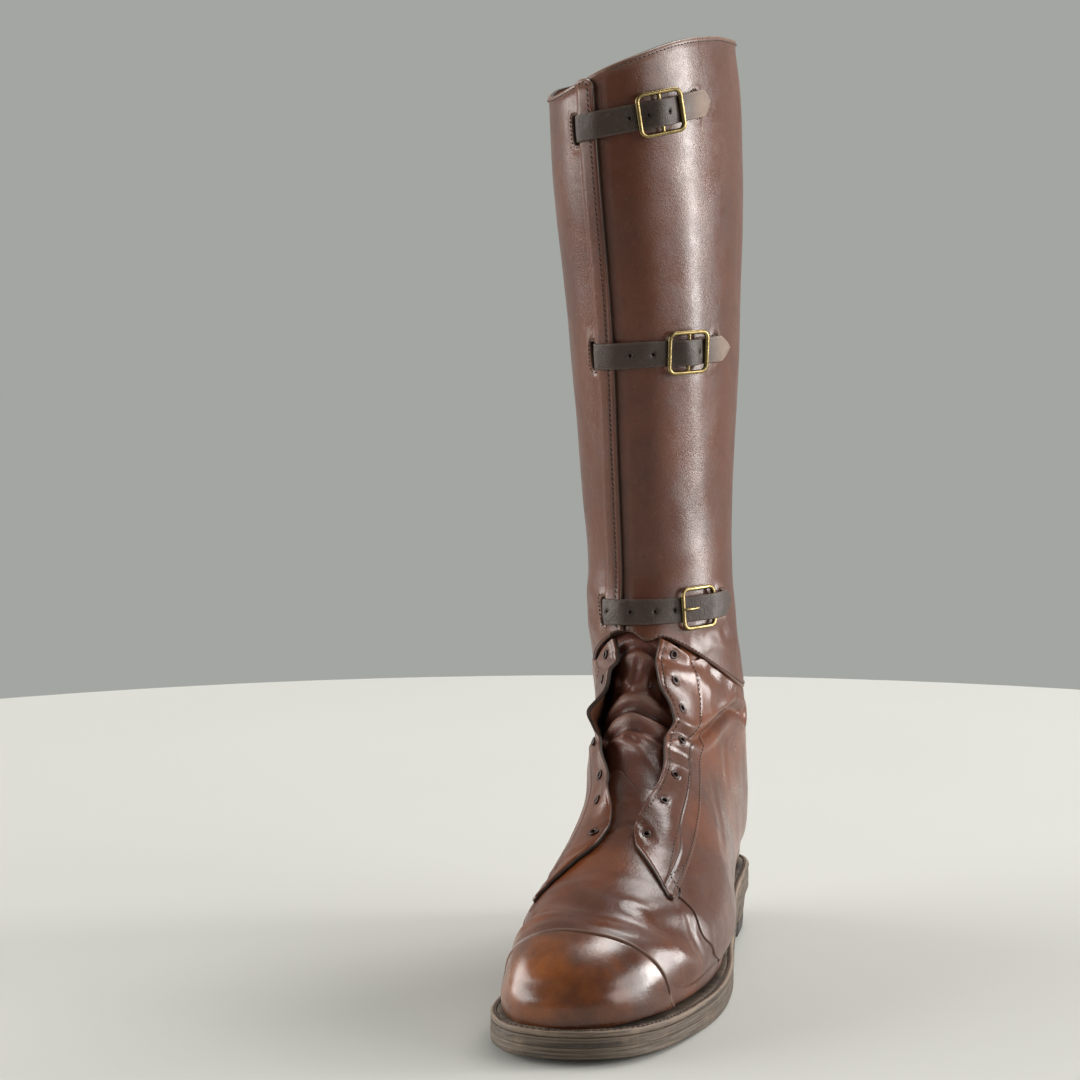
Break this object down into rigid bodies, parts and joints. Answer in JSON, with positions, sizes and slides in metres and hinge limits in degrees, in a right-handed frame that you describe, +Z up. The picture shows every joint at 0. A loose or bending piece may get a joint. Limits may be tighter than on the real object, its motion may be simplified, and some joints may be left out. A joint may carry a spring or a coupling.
{
  "type": "riding boot",
  "caption": "Tall leather riding boot with a strapped and buckled front opening, derby eyelet facings, capped toe, welted sole and stacked heel.",
  "frame": {"origin": "on the floor under the middle of the heel", "axes": "+Z up along the shaft, toe towards -Y, outer side of the left boot towards +X"},
  "size_m": [0.1118, 0.3182, 0.4518],
  "materials": {
    "upper_leather": "polished",
    "tongue_leather": "satin",
    "strap_leather": "matt",
    "insole_leather": "matt",
    "sole_leather": "waxed edge",
    "heel_rubber": "matt",
    "brass": "polished",
    "webbing": "woven"
  },
  "bodies": {
    "root": {"outsole": "sole_leather", "midsole": "sole_leather", "welt": "sole_leather", "heel_lifts": "sole_leather", "heel_top_piece": "heel_rubber", "insole": "insole_leather", "upper": "upper_leather", "tongue": "tongue_leather", "facing_lateral": "upper_leather", "facing_medial": "upper_leather", "strap_top": "strap_leather", "chape_top": "strap_leather", "buckle_top": "brass", "strap_middle": "strap_leather", "chape_middle": "strap_leather", "buckle_middle": "brass", "strap_bottom": "strap_leather", "chape_bottom": "strap_leather", "buckle_bottom": "brass", "pull_loop_lateral": "webbing", "pull_loop_medial": "webbing"}
  },
  "joints": []
}
